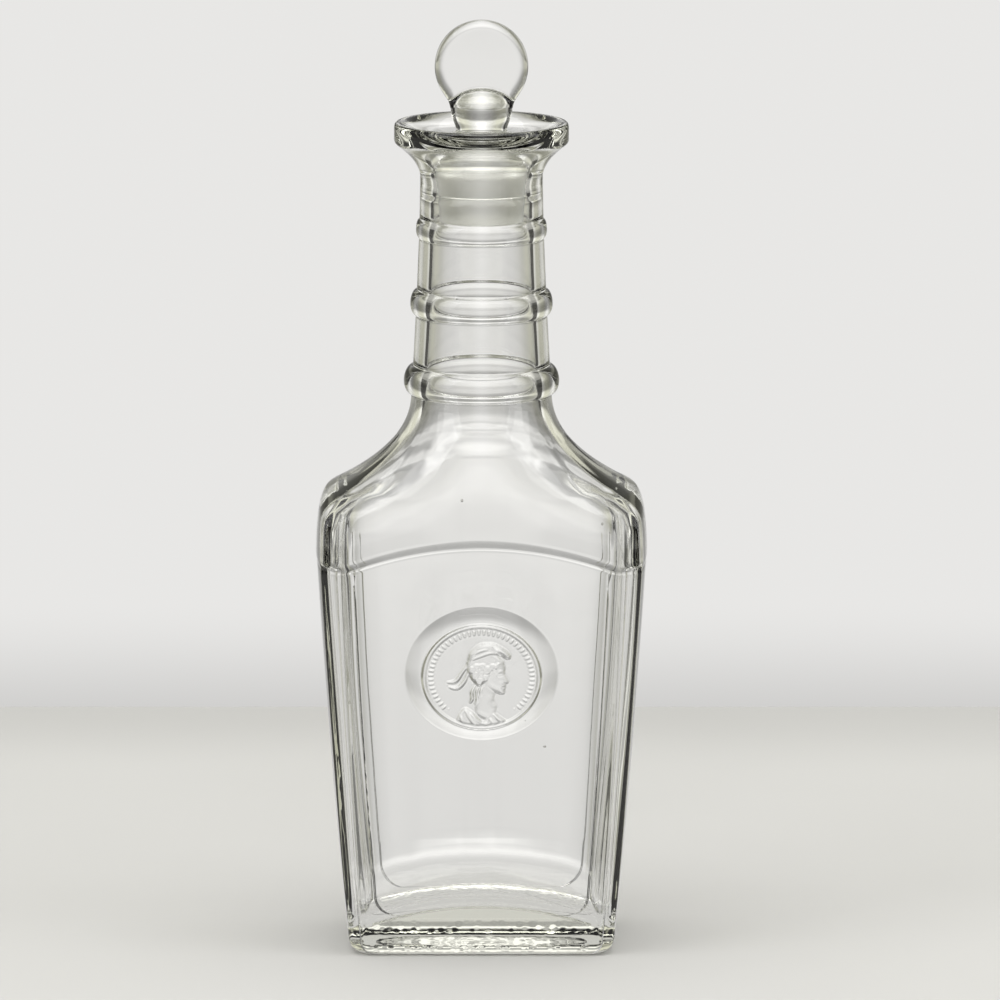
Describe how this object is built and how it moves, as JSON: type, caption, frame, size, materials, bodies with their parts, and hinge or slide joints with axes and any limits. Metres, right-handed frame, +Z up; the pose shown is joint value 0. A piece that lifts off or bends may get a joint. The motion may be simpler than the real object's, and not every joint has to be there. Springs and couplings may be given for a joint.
{
  "type": "whiskey decanter",
  "caption": "Flat-sided clear glass decanter with ringed round neck, flared lip, oval medallion and lift-out ground glass stopper with a disc head.",
  "frame": {"origin": "centre of the foot, on the surface that the decanter stands on", "axes": "+Z up along the neck and the stopper's axis, -Y out of the front face with the medallion, +X to the right seen from the front"},
  "size_m": [0.1072, 0.0666, 0.301],
  "materials": {
    "bottle_glass": "clear moulded glass with fire-polished faces and a faint olive tint in thick edges",
    "stopper_glass": "clear polished disc and knob over a frosted ground plug"
  },
  "bodies": {
    "bottle": {"bottle": "bottle_glass"},
    "stopper": {"stopper": "stopper_glass"}
  },
  "joints": [
    {"name": "stopper_lift", "type": "slide", "parent": "bottle", "child": "stopper", "axis": [0, 0, 1], "range_m": [0, 0.08]}
  ]
}
